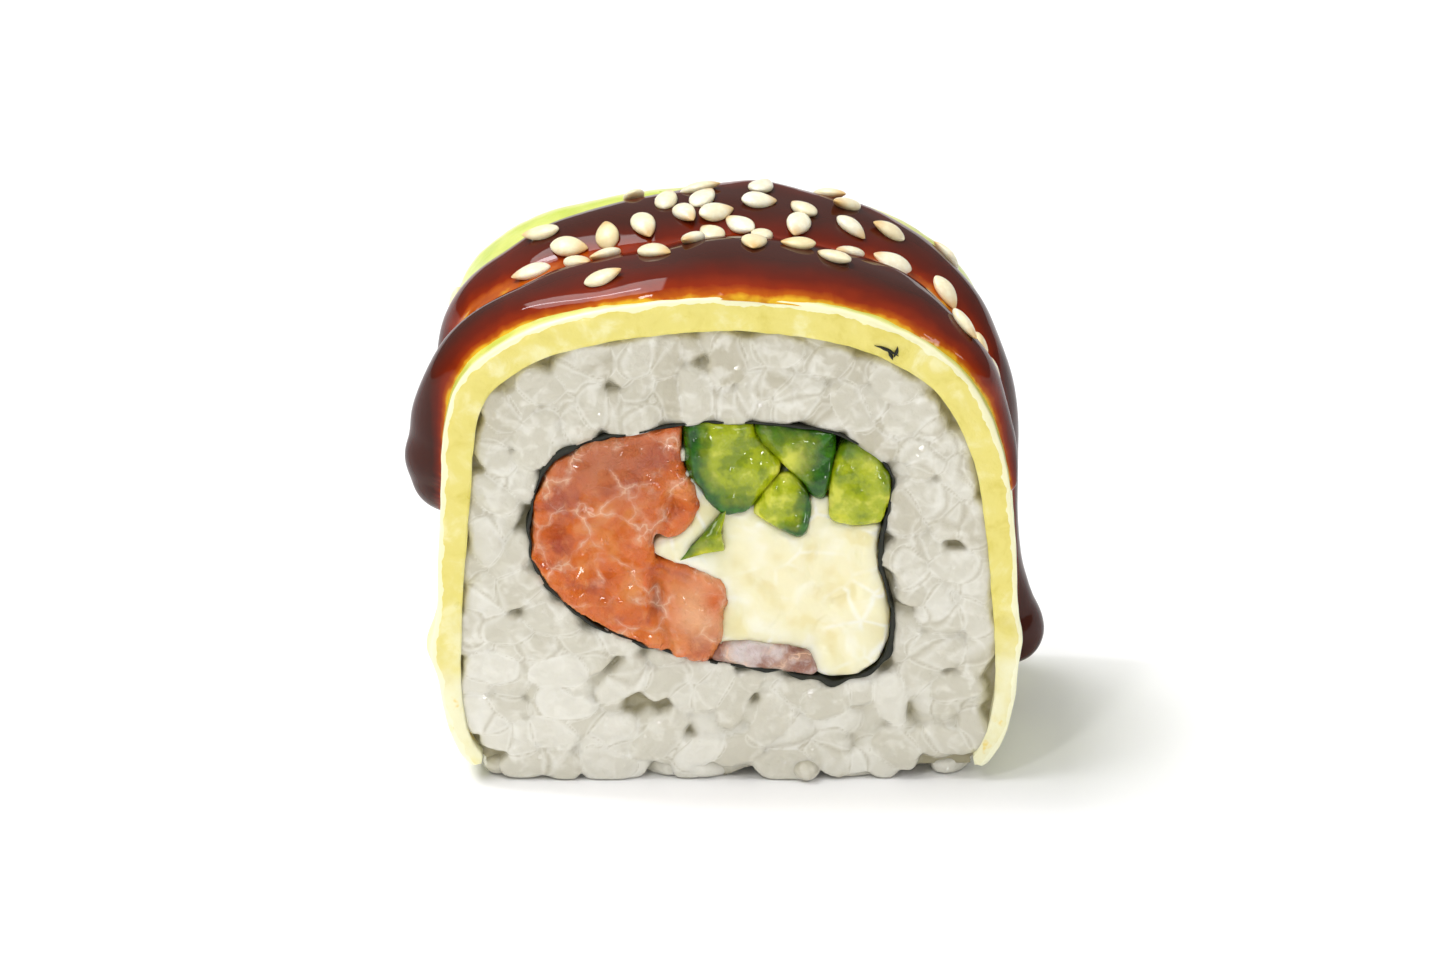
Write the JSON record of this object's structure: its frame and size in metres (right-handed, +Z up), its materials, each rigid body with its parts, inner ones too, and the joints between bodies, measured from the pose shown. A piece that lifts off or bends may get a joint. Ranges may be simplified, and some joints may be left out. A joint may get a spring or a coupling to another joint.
{
  "type": "uramaki roll piece",
  "caption": "Cut piece of inside-out sushi roll: rice round a nori tube of salmon, cucumber and cream cheese, under a wrap of avocado with sauce and sesame seeds.",
  "frame": {"origin": "centre of the flat face that the piece rests on", "axes": "+Z up, -Y out of the cut face that shows, +Y along the roll towards the other cut face, +X across the cut face to the right"},
  "size_m": [0.0508, 0.024, 0.044],
  "materials": {
    "cooked_rice": "moist, slightly translucent white grains",
    "nori_sheet": "matt, near-black dried seaweed",
    "salmon_flesh": "wet orange flesh with fine pale streaks",
    "cream_cheese": "smooth, soft ivory",
    "cucumber_flesh": "wet yellow-green flesh with dark green skin",
    "avocado_with_sauce": "butter-yellow cut edge and lime outside, glossy dark brown sauce, cream sesame seeds"
  },
  "bodies": {
    "root": {"rice": "cooked_rice", "nori": "nori_sheet", "salmon": "salmon_flesh", "salmon_flake": "salmon_flesh", "cream_cheese": "cream_cheese", "cucumber_left": "cucumber_flesh", "cucumber_top": "cucumber_flesh", "cucumber_middle": "cucumber_flesh", "cucumber_right": "cucumber_flesh", "cucumber_shaving": "cucumber_flesh", "avocado": "avocado_with_sauce"}
  },
  "joints": []
}
